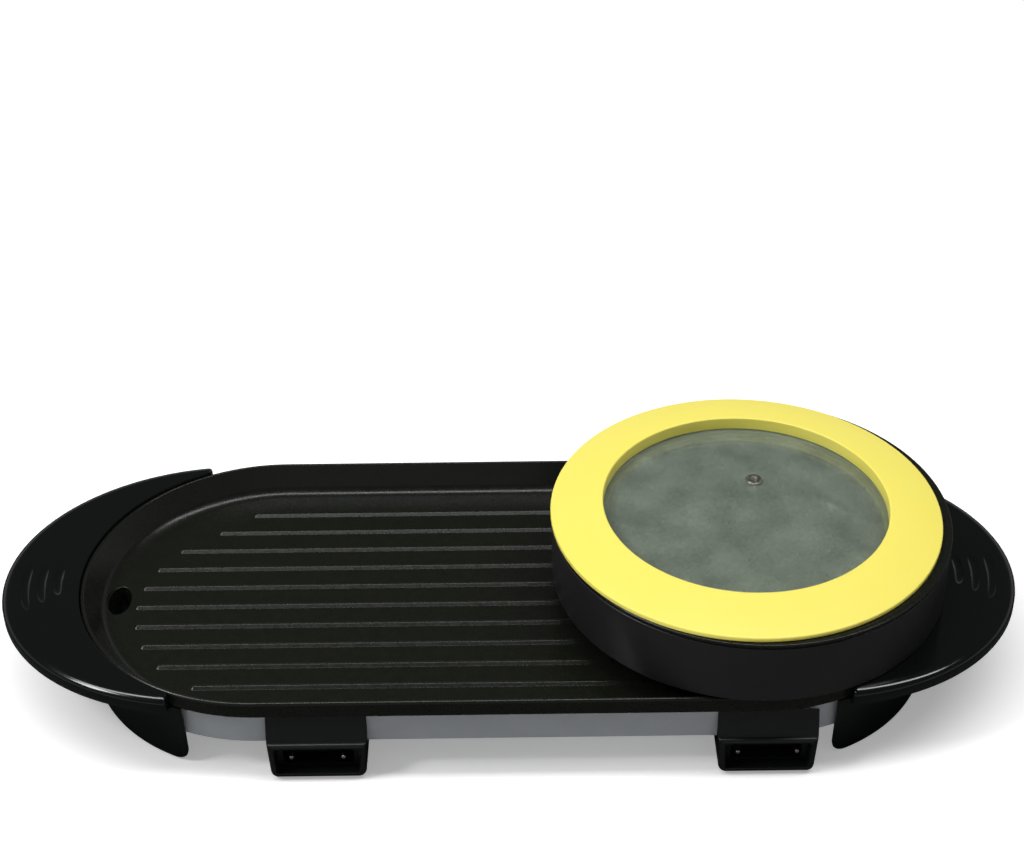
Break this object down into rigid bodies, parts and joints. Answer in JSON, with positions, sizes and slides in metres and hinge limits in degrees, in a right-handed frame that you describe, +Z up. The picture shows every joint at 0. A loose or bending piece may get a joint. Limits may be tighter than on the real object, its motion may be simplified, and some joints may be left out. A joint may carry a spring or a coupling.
{
  "type": "hot pot grill combo",
  "caption": "Long ribbed countertop grill pan with a hot plate under a deep lidded pot, crescent handles that form the legs, sockets at the front and a drain with a grease cup.",
  "frame": {"origin": "on the table, below the middle of the bounding box", "axes": "+X along the pan towards the pot, +Y away from the sockets, +Z up"},
  "size_m": [0.662, 0.256, 0.1167],
  "materials": {
    "nonstick_coating": "black non-stick coating on cast aluminium, satin with a fine texture",
    "gloss_black_plastic": "black heat-resistant moulding, polished",
    "black_plastic": "black moulding, lightly grained",
    "pot_paint": "black stoved enamel, half gloss",
    "yellow_plastic": "lemon yellow moulding, half gloss",
    "lid_glass": "clear tempered glass with a slight green tint",
    "sheet_steel": "bright rolled sheet",
    "cast_aluminium": "machined and matt",
    "heater_tube": "heat-darkened steel sheath",
    "nickel_plate": "nickel plated, bright",
    "foot_rubber": "soft black rubber",
    "silicone": "grey silicone rubber"
  },
  "bodies": {
    "base": {"grill_pan": "nonstick_coating", "hot_plate": "cast_aluminium", "base_band": "sheet_steel", "base_plate": "sheet_steel", "heat_reflector": "cast_aluminium", "drain_spout": "nonstick_coating", "grill_heater": "heater_tube", "pot_heater": "heater_tube", "grill_heater_clip_1": "sheet_steel", "grill_heater_clip_2": "sheet_steel", "grill_heater_clip_3": "sheet_steel", "grill_heater_clip_4": "sheet_steel", "pot_heater_clip_1": "sheet_steel", "pot_heater_clip_2": "sheet_steel", "pan_screw_1": "nickel_plate", "pan_screw_2": "nickel_plate", "pan_screw_3": "nickel_plate", "pan_screw_4": "nickel_plate", "left_handle": "gloss_black_plastic", "left_front_foot": "foot_rubber", "left_front_screw": "nickel_plate", "left_front_nut": "nickel_plate", "left_back_foot": "foot_rubber", "left_back_screw": "nickel_plate", "left_back_nut": "nickel_plate", "right_handle": "gloss_black_plastic", "right_front_foot": "foot_rubber", "right_front_screw": "nickel_plate", "right_front_nut": "nickel_plate", "right_back_foot": "foot_rubber", "right_back_screw": "nickel_plate", "right_back_nut": "nickel_plate", "left_socket_housing": "black_plastic", "left_terminal_block": "black_plastic", "left_probe_sleeve": "nickel_plate", "left_socket_pin_1": "nickel_plate", "left_socket_screw_1": "nickel_plate", "left_socket_pin_2": "nickel_plate", "left_socket_screw_2": "nickel_plate", "right_socket_housing": "black_plastic", "right_terminal_block": "black_plastic", "right_probe_sleeve": "nickel_plate", "right_socket_pin_1": "nickel_plate", "right_socket_screw_1": "nickel_plate", "right_socket_pin_2": "nickel_plate", "right_socket_screw_2": "nickel_plate", "front_cup_runner": "sheet_steel", "back_cup_runner": "sheet_steel"},
    "pot": {"pot_inner": "nonstick_coating", "pot_shell": "pot_paint"},
    "lid": {"lid_ring": "yellow_plastic", "lid_glass": "lid_glass", "lid_gasket": "silicone", "lid_retainer": "black_plastic", "steam_vent": "nickel_plate"},
    "grease_cup": {"grease_cup": "sheet_steel"}
  },
  "joints": [
    {"name": "pot_lift", "type": "slide", "parent": "base", "child": "pot", "axis": [0, 0, 1], "range_m": [0, 0.08]},
    {"name": "lid_lift", "type": "slide", "parent": "pot", "child": "lid", "axis": [0, 0, 1], "range_m": [0, 0.06]},
    {"name": "grease_cup_slide", "type": "slide", "parent": "base", "child": "grease_cup", "axis": [-1, 0, 0], "range_m": [0, 0.07]}
  ]
}
